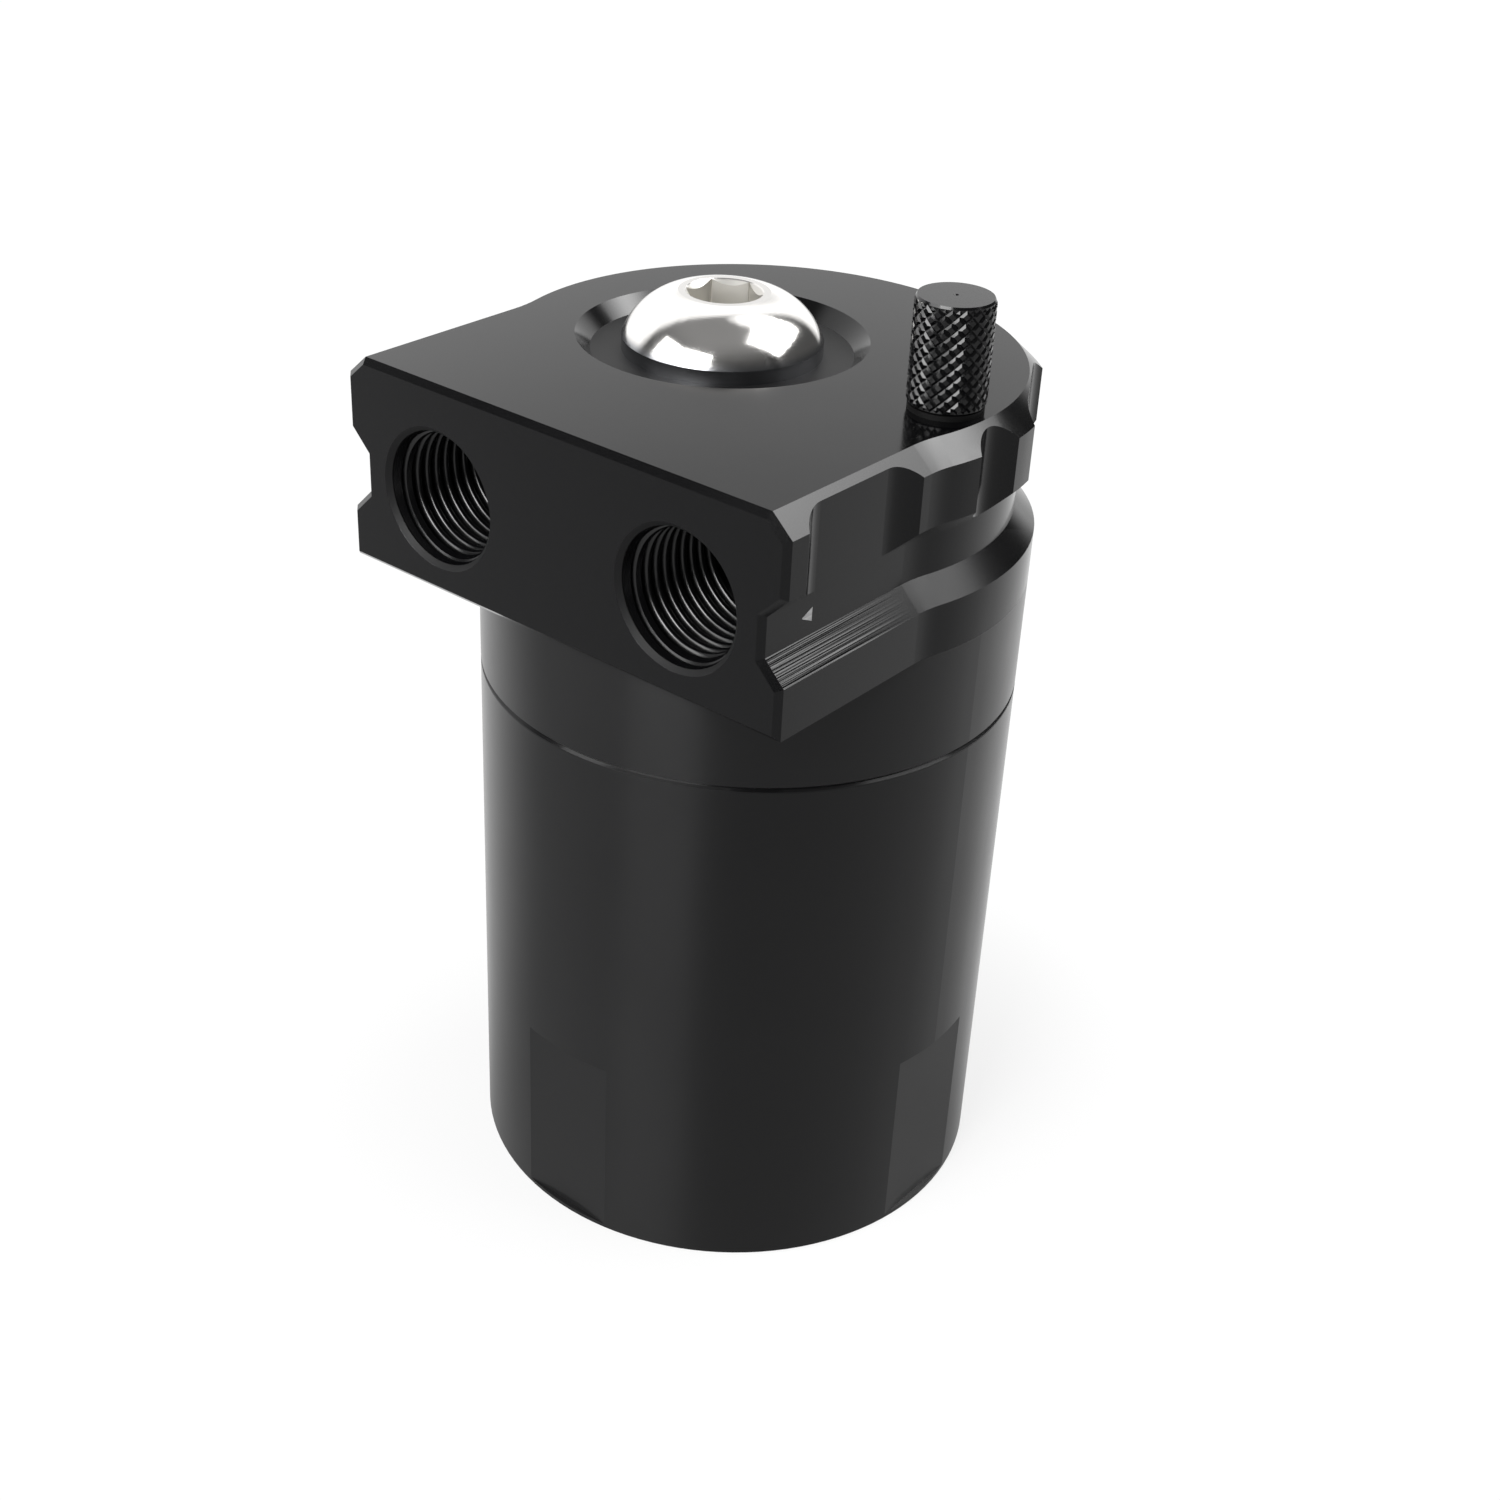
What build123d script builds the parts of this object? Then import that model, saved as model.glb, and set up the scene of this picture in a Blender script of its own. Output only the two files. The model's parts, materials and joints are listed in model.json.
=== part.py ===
"""Oil catch can: a turned can under a billet head with two hose ports and a dipstick.

The can stands on the table with the middle of its foot at the origin. +Z is up and the
two ports face -Y. Sizes are in millimetres.
"""

import os

from build123d import *

# Can
can_diameter = 76.0
can_height = 80.0
can_wall = 3.0
can_floor = 4.0
floor_fillet = 3.0
foot_break = 0.2
foot_rim = 0.8
flat_depth = 0.75
flat_height = 29.6
seam_break = 0.35

# Head, from the joint with the can upwards
skirt_height = 16.5
block_height = 28.65
block_inset = 1.55
port_overhang = 2.55
blend_radius = 16.0
flange_height = 7.05
waist_depth = 3.0
waist_height = 5.4
top_chamfer_width = 3.05
top_chamfer_drop = 2.75
face_break = 0.8

# Scallops round the rim: round ones, long ones between them and one on each side flat
scallop_pitch = 60.0
round_scallop_cutter = 10.5
round_scallop_depth = 2.3
long_scallop_cutter = 12.0
long_scallop_depth = 2.8
long_scallop_floor = 13.7
side_scallop_depth = 2.1
side_scallop_floor = 13.1
side_scallop_setback = 14.95

# Spigot and chamber under the head
spigot_length = 12.0
spigot_clearance = 0.3
spigot_wall = 3.2
chamber_depth = 24.5
chamber_fillet = 0.6

# Ring seal on the spigot
seal_section = 1.8
seal_gland_width = 2.4
seal_gland_slack = 0.05
seal_below_shoulder = 1.9

# Ports and passages
port_edge = 16.3
port_height = 29.7
port_thread = 18.0
port_thread_depth = 18.0
port_mouth_chamfer = 0.65
pilot_diameter = 15.0
pilot_overrun = 1.75
passage_diameter = 14.0
passage_wall = 1.05

# Bracket bolt and its dished seat
bolt_x = -7.2
bolt_thread = 16.0
bolt_clearance = 0.1
bolt_length = 16.0
bolt_hole_depth = 18.0
bolt_head_diameter = 27.2
bolt_head_height = 8.1
bolt_head_edge = 1.9
bolt_crown_diameter = 12.4
bolt_crown_radius = 9.7
bolt_socket = 9.0
bolt_socket_depth = 5.0
bolt_socket_mouth = 10.5
seat_diameter = 35.5
seat_depth = 2.05

# Dipstick
stick_inset = 2.4
stick_thread = 8.0
stick_clearance = 0.1
stick_thread_depth = 20.5
stick_shank = 13.0
stick_passage = 4.0
knob_diameter = 10.2
knob_height = 13.85
knob_chamfer = 0.3
knob_centre = 1.0
rod_diameter = 3.0
rod_grip = 8.0
rod_foot_gap = 8.0
rod_fit = 0.02
level_groove = 0.6
level_groove_depth = 0.3
level_low = 25.0
level_high = 45.0
washer_thickness = 0.7
washer_rim = 0.2

# Baffle and mesh hung inside
tube_wall = 1.5
tube_fit = 0.02
tube_grip = 10.0
tube_drop = 44.0
plate_clearance = 1.5
plate_thickness = 2.0
plate_drop = 30.0
plate_hole = 4.0
plate_hole_ring_radius = 11.0
plate_hole_count = 10
inner_clearance = 0.4
spacer_diameter = 7.0
spacer_ring_radius = 22.0
spacer_count = 3
spacer_turn = 30.0
screw_diameter = 4.0
screw_clearance = 0.15
screw_grip = 7.0
screw_hole_depth = 8.0
screw_head_diameter = 7.0
screw_head_height = 4.0
screw_socket = 3.0
screw_socket_depth = 2.0
mesh_clearance = 0.6
mesh_height = 18.0

# Levels and radii that follow from the sizes above
can_radius = can_diameter / 2
flat_across = can_diameter - 2 * flat_depth
bore_radius = can_radius - can_wall
block_width = can_diameter - 2 * block_inset
port_face_reach = can_radius + port_overhang
block_bottom = can_height + skirt_height
waist_bottom = block_bottom + flange_height + waist_depth
waist_top = waist_bottom + waist_height
head_top = block_bottom + block_height
spigot_radius = bore_radius - spigot_clearance
spigot_bottom = can_height - spigot_length
chamber_radius = spigot_radius - spigot_wall
chamber_top = spigot_bottom + chamber_depth
seal_level = can_height - seal_below_shoulder
port_level = can_height + port_height
port_x = block_width / 2 - port_edge
passage_radius = passage_diameter / 2
passage_reach = chamber_radius - passage_radius - passage_wall
passage_setback = (passage_reach**2 - port_x**2) ** 0.5
pilot_depth = port_face_reach - passage_setback + pilot_overrun
seat_level = head_top - seat_depth
plate_top = chamber_top - plate_drop
plate_bottom = plate_top - plate_thickness
blank_reach = port_face_reach + 5 * waist_depth
port_plane = Plane.XZ.offset(port_face_reach)
bolt_centre = (bolt_x, 0)
bolt_axis = Axis((bolt_x, 0, 0), (0, 0, 1))
bolt_plane = Plane((bolt_x, 0, seat_level), x_dir=(1, 0, 0), z_dir=(0, -1, 0))
inlet_centre = (-port_x, -passage_setback)
outlet_centre = (port_x, -passage_setback)
stick_centre = (chamber_radius - stick_inset, 0)


def head_outline(level, inset=0.0):
    """Plan of the head at one level: the round of the can joined to the wide port block."""
    with BuildSketch(Plane.XY.offset(level)) as plan:
        Circle(can_radius)
        with Locations((0, -blank_reach / 2)):
            Rectangle(block_width, blank_reach)
        fillet(plan.vertices().sort_by(Axis.Y)[2:4], blend_radius)
        if inset:
            offset(amount=-inset)
    return plan.sketch


# Can: turned cup with four wrench flats that stop just above the round rim of the foot
with BuildPart() as can:
    with BuildSketch():
        Circle(can_radius)
    extrude(amount=can_height)
    with BuildSketch(Plane.XY.offset(foot_rim)):
        Circle(can_radius + can_wall)
        Rectangle(flat_across, flat_across, mode=Mode.SUBTRACT)
    extrude(amount=flat_height - foot_rim, mode=Mode.SUBTRACT)
    chamfer(can.faces().sort_by(Axis.Z)[0].edges(), foot_break)
    with BuildSketch(Plane.XY.offset(can_floor)):
        Circle(bore_radius)
    extrude(amount=can_height - can_floor, mode=Mode.SUBTRACT)
    bore_edges = can.edges().filter_by(GeomType.CIRCLE).filter_by_position(Axis.Z, can_floor, can_floor)
    fillet(bore_edges, floor_fillet)
    chamfer(can.faces().sort_by(Axis.Z)[-1].edges(), seam_break)
can.part.label = "can"

# Lower flange of the head, its upper edge tapering into the waist
with BuildPart() as flange:
    extrude(head_outline(block_bottom), amount=waist_bottom - block_bottom)
    chamfer(flange.faces().sort_by(Axis.Z)[-1].edges(), waist_depth)

# Scalloped rim of the head, tapering out of the waist
with BuildPart() as rim:
    extrude(head_outline(waist_top), amount=head_top - waist_top)
    chamfer(rim.faces().sort_by(Axis.Z)[0].edges(), waist_depth)
    top_face = rim.faces().sort_by(Axis.Z)[-1]
    chamfer(top_face.edges(), top_chamfer_width, top_chamfer_drop, reference=top_face)
    with BuildSketch(Plane.XY.offset(waist_top)):
        round_reach = can_radius - round_scallop_depth + round_scallop_cutter / 2
        with PolarLocations(round_reach, 4, angular_range=3 * scallop_pitch, endpoint=True):
            Circle(round_scallop_cutter / 2)
        long_reach = can_radius - long_scallop_depth + long_scallop_cutter / 2
        with PolarLocations(
            long_reach, 3, start_angle=scallop_pitch / 2, angular_range=2 * scallop_pitch, endpoint=True
        ):
            SlotCenterToCenter(long_scallop_floor, long_scallop_cutter, rotation=90)
        side_reach = block_width / 2 - side_scallop_depth + long_scallop_cutter / 2
        side_y = side_scallop_setback - port_face_reach
        with Locations((-side_reach, side_y), (side_reach, side_y)):
            SlotCenterToCenter(side_scallop_floor, long_scallop_cutter, rotation=90)
    extrude(amount=head_top - waist_top, mode=Mode.SUBTRACT)

# Head: one billet piece with skirt, spigot, waist, rim and every drilled way
with BuildPart() as head:
    with BuildSketch(Plane.XY.offset(can_height)):
        Circle(can_radius)
    extrude(amount=skirt_height)
    chamfer(head.faces().sort_by(Axis.Z)[0].edges(), seam_break)
    with BuildSketch(Plane.XY.offset(spigot_bottom)):
        Circle(spigot_radius)
    extrude(amount=spigot_length + skirt_height)
    chamfer(head.faces().sort_by(Axis.Z)[0].edges(), seam_break)
    add(flange.part)
    extrude(head_outline(waist_bottom, waist_depth), amount=waist_height)
    add(rim.part)
    with BuildSketch(Plane.XY.offset(block_bottom - skirt_height)):
        with Locations((0, -port_face_reach - blank_reach / 2)):
            Rectangle(2 * block_width, blank_reach)
    extrude(amount=block_height + 2 * skirt_height, mode=Mode.SUBTRACT)
    chamfer(head.faces().sort_by(Axis.Y)[0].edges(), face_break)

    with BuildSketch(Plane.XY.offset(spigot_bottom)):
        Circle(chamber_radius)
    extrude(amount=chamber_depth, mode=Mode.SUBTRACT)
    ceiling_edge = head.edges().filter_by(GeomType.CIRCLE).filter_by_position(Axis.Z, chamber_top, chamber_top)
    fillet(ceiling_edge, chamber_fillet)
    with BuildSketch(Plane.XY.offset(seal_level - seal_gland_width / 2)):
        Circle(can_radius)
        Circle(spigot_radius - seal_section - seal_gland_slack, mode=Mode.SUBTRACT)
    extrude(amount=seal_gland_width, mode=Mode.SUBTRACT)

    with BuildSketch(port_plane):
        with Locations((-port_x, port_level), (port_x, port_level)):
            Circle(pilot_diameter / 2)
    extrude(amount=-pilot_depth, mode=Mode.SUBTRACT)
    with BuildSketch(port_plane):
        with Locations((-port_x, port_level), (port_x, port_level)):
            Circle(port_thread / 2)
    extrude(amount=-port_thread_depth, mode=Mode.SUBTRACT)
    port_mouths = head.faces().sort_by(Axis.Y)[0].inner_wires().edges()
    chamfer(port_mouths, port_mouth_chamfer)
    with BuildSketch(Plane.XY.offset(chamber_top)):
        with Locations(inlet_centre, outlet_centre):
            Circle(passage_radius)
    extrude(amount=port_level - chamber_top, mode=Mode.SUBTRACT)

    with BuildSketch(Plane.XY.offset(head_top)):
        with Locations(bolt_centre):
            Circle(seat_diameter / 2 + seat_depth)
    extrude(amount=-seat_depth, taper=45, mode=Mode.SUBTRACT)
    with BuildSketch(Plane.XY.offset(seat_level)):
        with Locations(bolt_centre):
            Circle(bolt_thread / 2)
    extrude(amount=-bolt_hole_depth, mode=Mode.SUBTRACT)

    with BuildSketch(Plane.XY.offset(chamber_top)):
        with Locations(stick_centre):
            Circle(stick_passage / 2)
    extrude(amount=head_top - chamber_top, mode=Mode.SUBTRACT)
    with BuildSketch(Plane.XY.offset(head_top)):
        with Locations(stick_centre):
            Circle(stick_thread / 2)
    extrude(amount=-stick_thread_depth, mode=Mode.SUBTRACT)

    with BuildSketch(Plane.XY.offset(chamber_top)):
        with PolarLocations(spacer_ring_radius, spacer_count, start_angle=spacer_turn):
            Circle(screw_diameter / 2)
    extrude(amount=screw_hole_depth, mode=Mode.SUBTRACT)
head.part.label = "head"

# Ring seal on the spigot just under the shoulder
with BuildPart() as can_seal:
    with BuildSketch(Plane.XZ):
        with Locations((spigot_radius - seal_section / 2, seal_level)):
            Circle(seal_section / 2)
    revolve(axis=Axis.Z)
can_seal.part.label = "can_seal"

# Button head bolt that clamps the bracket into the dished seat
with BuildPart() as bracket_bolt:
    with BuildSketch(bolt_plane):
        with BuildLine():
            shank_radius = bolt_thread / 2 - bolt_clearance
            Polyline(
                (0, bolt_head_height),
                (0, -bolt_length),
                (shank_radius, -bolt_length),
                (shank_radius, 0),
                (bolt_head_diameter / 2, 0),
                (bolt_head_diameter / 2, bolt_head_edge),
            )
            RadiusArc(
                (bolt_head_diameter / 2, bolt_head_edge),
                (bolt_crown_diameter / 2, bolt_head_height),
                -bolt_crown_radius,
            )
            Line((bolt_crown_diameter / 2, bolt_head_height), (0, bolt_head_height))
        make_face()
    revolve(axis=bolt_axis)
    with BuildSketch(Plane.XY.offset(seat_level + bolt_head_height)):
        with Locations(bolt_centre):
            RegularPolygon(bolt_socket / 2, 6, major_radius=False, rotation=30)
    extrude(amount=-bolt_socket_depth, mode=Mode.SUBTRACT)
    with BuildSketch(Plane.XY.offset(seat_level + bolt_head_height)):
        with Locations(bolt_centre):
            Circle(bolt_socket_mouth / 2)
    extrude(amount=-(bolt_socket_mouth - bolt_socket) / 2, taper=45, mode=Mode.SUBTRACT)
bracket_bolt.part.label = "bracket_bolt"

# Dipstick knob with its threaded shank
knob_bottom = head_top + washer_thickness
rod_top = knob_bottom - stick_shank + rod_grip
with BuildPart() as dipstick_knob:
    with BuildSketch(Plane.XY.offset(knob_bottom)):
        with Locations(stick_centre):
            Circle(knob_diameter / 2)
    extrude(amount=knob_height)
    chamfer(dipstick_knob.edges(), knob_chamfer)
    with BuildSketch(Plane.XY.offset(knob_bottom + knob_height)):
        with Locations(stick_centre):
            Circle(knob_centre / 2)
    extrude(amount=-knob_centre / 3, taper=45, mode=Mode.SUBTRACT)
    with BuildSketch(Plane.XY.offset(knob_bottom + knob_chamfer)):
        with Locations(stick_centre):
            Circle(stick_thread / 2 - stick_clearance)
    extrude(amount=-stick_shank - knob_chamfer)
    chamfer(dipstick_knob.faces().sort_by(Axis.Z)[0].edges(), knob_chamfer)
    with BuildSketch(Plane.XY.offset(knob_bottom - stick_shank)):
        with Locations(stick_centre):
            Circle(rod_diameter / 2 + rod_fit)
    extrude(amount=rod_grip, mode=Mode.SUBTRACT)
dipstick_knob.part.label = "dipstick_knob"

# Dipstick rod with two level grooves
with BuildPart() as dipstick_rod:
    with BuildSketch(Plane.XY.offset(rod_foot_gap)):
        with Locations(stick_centre):
            Circle(rod_diameter / 2)
    extrude(amount=rod_top - rod_foot_gap)
    chamfer(dipstick_rod.edges().group_by(Axis.Z)[0], level_groove_depth)
    for level in (level_low, level_high):
        with BuildSketch(Plane.XY.offset(level)):
            with Locations(stick_centre):
                Circle(rod_diameter)
                Circle(rod_diameter / 2 - level_groove_depth, mode=Mode.SUBTRACT)
        extrude(amount=level_groove, mode=Mode.SUBTRACT)
dipstick_rod.part.label = "dipstick_rod"

# Flat sealing washer under the knob
with BuildPart() as dipstick_seal:
    with BuildSketch(Plane.XY.offset(head_top)):
        with Locations(stick_centre):
            Circle(knob_diameter / 2 - washer_rim)
            Circle(stick_thread / 2 + stick_clearance, mode=Mode.SUBTRACT)
    extrude(amount=washer_thickness)
dipstick_seal.part.label = "dipstick_seal"

# Inlet tube pressed into the ceiling of the chamber
tube_radius = passage_radius - tube_fit
with BuildPart() as inlet_tube:
    with BuildSketch(Plane.XY.offset(chamber_top - tube_drop)):
        with Locations(inlet_centre):
            Circle(tube_radius)
            Circle(tube_radius - tube_wall, mode=Mode.SUBTRACT)
    extrude(amount=tube_drop + tube_grip)
inlet_tube.part.label = "inlet_tube"

# Perforated plate that carries the mesh
with BuildPart() as baffle_plate:
    with BuildSketch(Plane.XY.offset(plate_bottom)):
        Circle(bore_radius - plate_clearance)
        with Locations(inlet_centre):
            Circle(tube_radius + inner_clearance, mode=Mode.SUBTRACT)
        with Locations(stick_centre):
            Circle(rod_diameter / 2 + 2 * inner_clearance, mode=Mode.SUBTRACT)
        with PolarLocations(spacer_ring_radius, spacer_count, start_angle=spacer_turn):
            Circle(screw_diameter / 2 + screw_clearance, mode=Mode.SUBTRACT)
        with PolarLocations(plate_hole_ring_radius, plate_hole_count):
            Circle(plate_hole / 2, mode=Mode.SUBTRACT)
    extrude(amount=plate_thickness)
baffle_plate.part.label = "baffle_plate"

# Spacer tubes between the plate and the head
with BuildPart() as baffle_spacers:
    with BuildSketch(Plane.XY.offset(plate_top)):
        with PolarLocations(spacer_ring_radius, spacer_count, start_angle=spacer_turn):
            Circle(spacer_diameter / 2)
            Circle(screw_diameter / 2 + screw_clearance, mode=Mode.SUBTRACT)
    extrude(amount=plate_drop)
baffle_spacers.part.label = "baffle_spacers"

# Socket screws that hold the plate up
with BuildPart() as baffle_screws:
    with BuildSketch(Plane.XY.offset(plate_bottom - screw_head_height)):
        with PolarLocations(spacer_ring_radius, spacer_count, start_angle=spacer_turn):
            Circle(screw_head_diameter / 2)
    extrude(amount=screw_head_height)
    chamfer(baffle_screws.edges().group_by(Axis.Z)[0], seam_break)
    with BuildSketch(Plane.XY.offset(plate_bottom)):
        with PolarLocations(spacer_ring_radius, spacer_count, start_angle=spacer_turn):
            Circle(screw_diameter / 2 - screw_clearance)
    extrude(amount=plate_thickness + plate_drop + screw_grip)
    with BuildSketch(Plane.XY.offset(plate_bottom - screw_head_height)):
        with PolarLocations(spacer_ring_radius, spacer_count, start_angle=spacer_turn):
            RegularPolygon(screw_socket / 2, 6, major_radius=False)
    extrude(amount=screw_socket_depth, mode=Mode.SUBTRACT)
baffle_screws.part.label = "baffle_screws"

# Pad of knitted wire mesh lying on the plate
with BuildPart() as coalescing_mesh:
    with BuildSketch(Plane.XY.offset(plate_top)):
        Circle(chamber_radius - mesh_clearance)
        with Locations(inlet_centre):
            Circle(tube_radius + inner_clearance, mode=Mode.SUBTRACT)
        with Locations(stick_centre):
            Circle(rod_diameter / 2 + 2 * inner_clearance, mode=Mode.SUBTRACT)
        with PolarLocations(spacer_ring_radius, spacer_count, start_angle=spacer_turn):
            Circle(spacer_diameter / 2 + inner_clearance, mode=Mode.SUBTRACT)
    extrude(amount=mesh_height)
coalescing_mesh.part.label = "coalescing_mesh"

os.makedirs("parts", exist_ok=True)
for piece in (
    can,
    head,
    can_seal,
    bracket_bolt,
    dipstick_knob,
    dipstick_rod,
    dipstick_seal,
    inlet_tube,
    baffle_plate,
    baffle_spacers,
    baffle_screws,
    coalescing_mesh,
):
    export_step(piece.part, f"parts/{piece.part.label}.step")
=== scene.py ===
"""Oil catch can: threads, knurl, flow marks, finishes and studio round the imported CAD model.

Everything is in metres, in the frame of the CAD model: +Z is up and the two ports face -Y.
"""

import json
from math import atan2, pi, radians, tau

import bpy
from bpy.props import FloatProperty, FloatVectorProperty, IntProperty, PointerProperty
from mathutils import Matrix, Vector


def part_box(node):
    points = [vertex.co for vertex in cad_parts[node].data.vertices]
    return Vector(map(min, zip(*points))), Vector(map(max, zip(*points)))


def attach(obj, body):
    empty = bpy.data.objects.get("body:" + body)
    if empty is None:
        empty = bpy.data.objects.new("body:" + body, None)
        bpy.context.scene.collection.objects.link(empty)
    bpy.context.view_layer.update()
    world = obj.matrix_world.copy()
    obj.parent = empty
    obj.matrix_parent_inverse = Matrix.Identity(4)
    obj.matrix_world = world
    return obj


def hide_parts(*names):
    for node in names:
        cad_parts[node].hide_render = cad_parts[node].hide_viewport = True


bl_info = {
    "name": "Oil catch can",
    "version": (1, 0, 0),
    "blender": (4, 5, 0),
    "location": "3D View > Sidebar > Catch Can",
    "description": "Threads, knurl, flow marks, finishes and studio for an oil catch can",
    "category": "Object",
}

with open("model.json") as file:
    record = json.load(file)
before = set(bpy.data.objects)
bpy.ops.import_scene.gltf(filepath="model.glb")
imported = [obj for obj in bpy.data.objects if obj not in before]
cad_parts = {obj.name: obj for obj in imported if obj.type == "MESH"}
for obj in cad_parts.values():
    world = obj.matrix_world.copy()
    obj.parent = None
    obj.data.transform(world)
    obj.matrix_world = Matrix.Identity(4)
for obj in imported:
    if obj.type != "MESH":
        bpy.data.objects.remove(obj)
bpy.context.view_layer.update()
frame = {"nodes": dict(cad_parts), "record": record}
NODES = frame["nodes"]
MOUNTS = {mount["name"]: mount for mount in frame["record"]["mounts"]}

MM = 0.001

# Places that the solids and the mounts give.
HEAD_LOW, HEAD_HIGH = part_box("head")
KNOB_LOW, KNOB_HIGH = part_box("dipstick_knob")
BOLT_LOW, BOLT_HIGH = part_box("bracket_bolt")
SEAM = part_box("can")[1].z
WASHER_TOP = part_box("dipstick_seal")[1].z
STICK_X = (KNOB_LOW.x + KNOB_HIGH.x) / 2
BOLT_X = (BOLT_LOW.x + BOLT_HIGH.x) / 2
PORT_FACE = HEAD_LOW.y
PORT_X, _, PORT_Z = MOUNTS["outlet_port"]["pos_m"]
PORT_RADIUS = MOUNTS["outlet_port"]["dims"]["r_mm"] * MM

# Sizes of the solids that no box or mount gives.
BLOCK_FLOOR = SEAM + 16.5 * MM
FLANK_MID, FLANK_HALF = SEAM + 25.05 * MM, 1.5 * MM
NECK_SIDE = 33.45 * MM
FACE_BREAK = 0.8 * MM
MOUTH_CHAMFER = 0.65 * MM
BOLT_SEAT, SEAT_RADIUS = HEAD_HIGH.z - 2.05 * MM, 17.75 * MM
SOCKET_MOUTH = 5.25 * MM
SPIGOT_RADIUS = 34.7 * MM

# How far a mask or a cutter passes the edge that it follows.
NEAR = 0.02 * MM

# A thread's ridge in shares of its pitch: the height of a metric thread and the width of the foot.
THREAD_HEIGHT, THREAD_FOOT = 0.5413, 0.84

# Radii and depths of the plain parts of the knob.
KNOB_EDGE, KNOB_TOP, KNOB_FOOT = 4.95 * MM, 4.78 * MM, 4.55 * MM
CENTRE_MARK, CENTRE_TIP, CENTRE_DEPTH = 0.35 * MM, 0.035 * MM, 0.33 * MM
SHANK_CORE, SHANK_CREST, SHANK_END = 3.22 * MM, 3.9 * MM, 2.85 * MM
ROD_HOLE, ROD_HOLE_DEPTH = 1.52 * MM, 8.0 * MM

# The middle of each flow mark on the neck.
MARK_Y, MARK_Z = -31.8 * MM, 109.22 * MM


def srgb(code):
    """Linear RGBA of an sRGB hex value such as #1a2b3c."""
    parts = [int(code[i : i + 2], 16) / 255 for i in (1, 3, 5)]
    return tuple(p / 12.92 if p <= 0.04045 else ((p + 0.055) / 1.055) ** 2.4 for p in parts) + (1.0,)


def length(name, description, default_mm):
    """A length whose default is given in millimetres and kept in metres."""
    return FloatProperty(
        name=name, description=description, default=default_mm * MM, min=0.0, unit="LENGTH", precision=5
    )


def count(name, description, default, least):
    """A whole number with its least value."""
    return IntProperty(name=name, description=description, default=default, min=least)


def colour(name, description, code):
    """A colour swatch whose default is an sRGB hex value."""
    return FloatVectorProperty(
        name=name, description=description, default=srgb(code), size=4, min=0.0, max=1.0, subtype="COLOR"
    )


class CatchCanSizes(bpy.types.PropertyGroup):
    """Sizes of the fine work that the solids leave out."""

    port_pitch: length("Port thread pitch", "Spacing of the port thread, as the photo shows it", 1.67)
    port_turns: count("Port thread turns", "Turns of thread in each port", 11, 1)
    spigot_pitch: length("Spigot thread pitch", "Pitch of the thread that carries the can", 1.5)
    spigot_turns: count("Spigot thread turns", "Turns of thread on the spigot", 5, 1)
    stick_pitch: length("Dipstick thread pitch", "Pitch of the thread under the knob", 1.25)
    stick_turns: count("Dipstick thread turns", "Turns of thread under the knob", 8, 1)
    knurl_count: count("Knurl count", "Diamonds round the knob", 18, 8)
    knurl_rows: count("Knurl rows", "Half diamonds along the knob", 16, 3)
    knurl_depth: length("Knurl depth", "Depth of the grooves between the diamonds", 0.2)
    mark_length: length("Flow mark length", "Length of the etched flow triangle", 2.0)
    mark_height: length("Flow mark height", "Height of the etched flow triangle", 1.85)


class CatchCanColours(bpy.types.PropertyGroup):
    """Colours of the finishes and of the studio."""

    anodise: colour("Anodised black", "Dyed oxide film on the can and head", "#060607")
    knob: colour("Knob black", "Dyed oxide film on the knurled knob", "#060607")
    stainless: colour("Stainless", "Polished stainless steel of the bolt", "#f4f2ef")
    rod: colour("Drawn stainless", "Dull stainless steel of the rod", "#a9a7a3")
    aluminium: colour("Plain aluminium", "Bare aluminium of the inner pieces", "#c6c7c9")
    zinc: colour("Zinc plate", "Bright zinc on the small screws", "#b4b8bd")
    rubber: colour("Nitrile rubber", "Black rubber of the seals", "#060606")
    mesh: colour("Mesh wire", "Knitted stainless wire of the pad", "#8e8c88")
    etch: colour("Etched mark", "Bleached oxide where the laser passed", "#b9b9b9")
    floor: colour("Floor", "Pale paper under the can", "#f2f2f2")


def add_node(tree, kind, inputs=None, out=0, **settings):
    """Adds a node with its settings and gives one output; each input is a value or a feeding socket."""
    made = tree.nodes.new(kind)
    for name, value in settings.items():
        setattr(made, name, value)
    for key, value in (inputs or {}).items():
        if isinstance(value, bpy.types.NodeSocket):
            tree.links.new(value, made.inputs[key])
        else:
            made.inputs[key].default_value = value
    return made.outputs[out]


def new_finish(name, base, **values):
    """A new material, its tree, its shader set to plain values and its Object coordinates."""
    finish = bpy.data.materials.new(name)
    finish.use_nodes = True
    tree = finish.node_tree
    shader = tree.nodes["Principled BSDF"]
    shader.inputs["Base Color"].default_value = base
    for key, value in values.items():
        shader.inputs[key.replace("_", " ")].default_value = value
    return finish, tree, shader, add_node(tree, "ShaderNodeTexCoord", out="Object")


def smudges(tree, place, size, low, high):
    """A value that drifts between two limits over patches of one size."""
    patches = add_node(tree, "ShaderNodeTexNoise", {"Vector": place, "Scale": 1 / size, "Detail": 4.0})
    limits = {"Value": patches, "From Min": 0.3, "From Max": 0.7, "To Min": low, "To Max": high}
    return add_node(tree, "ShaderNodeMapRange", limits)


def streaks(tree, place, scale):
    """Long marks: noise stretched by a scale for each axis."""
    stretched = add_node(tree, "ShaderNodeMapping", {"Vector": place, "Scale": scale})
    return add_node(tree, "ShaderNodeTexNoise", {"Vector": stretched, "Scale": 1.0, "Detail": 1.5})


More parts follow.
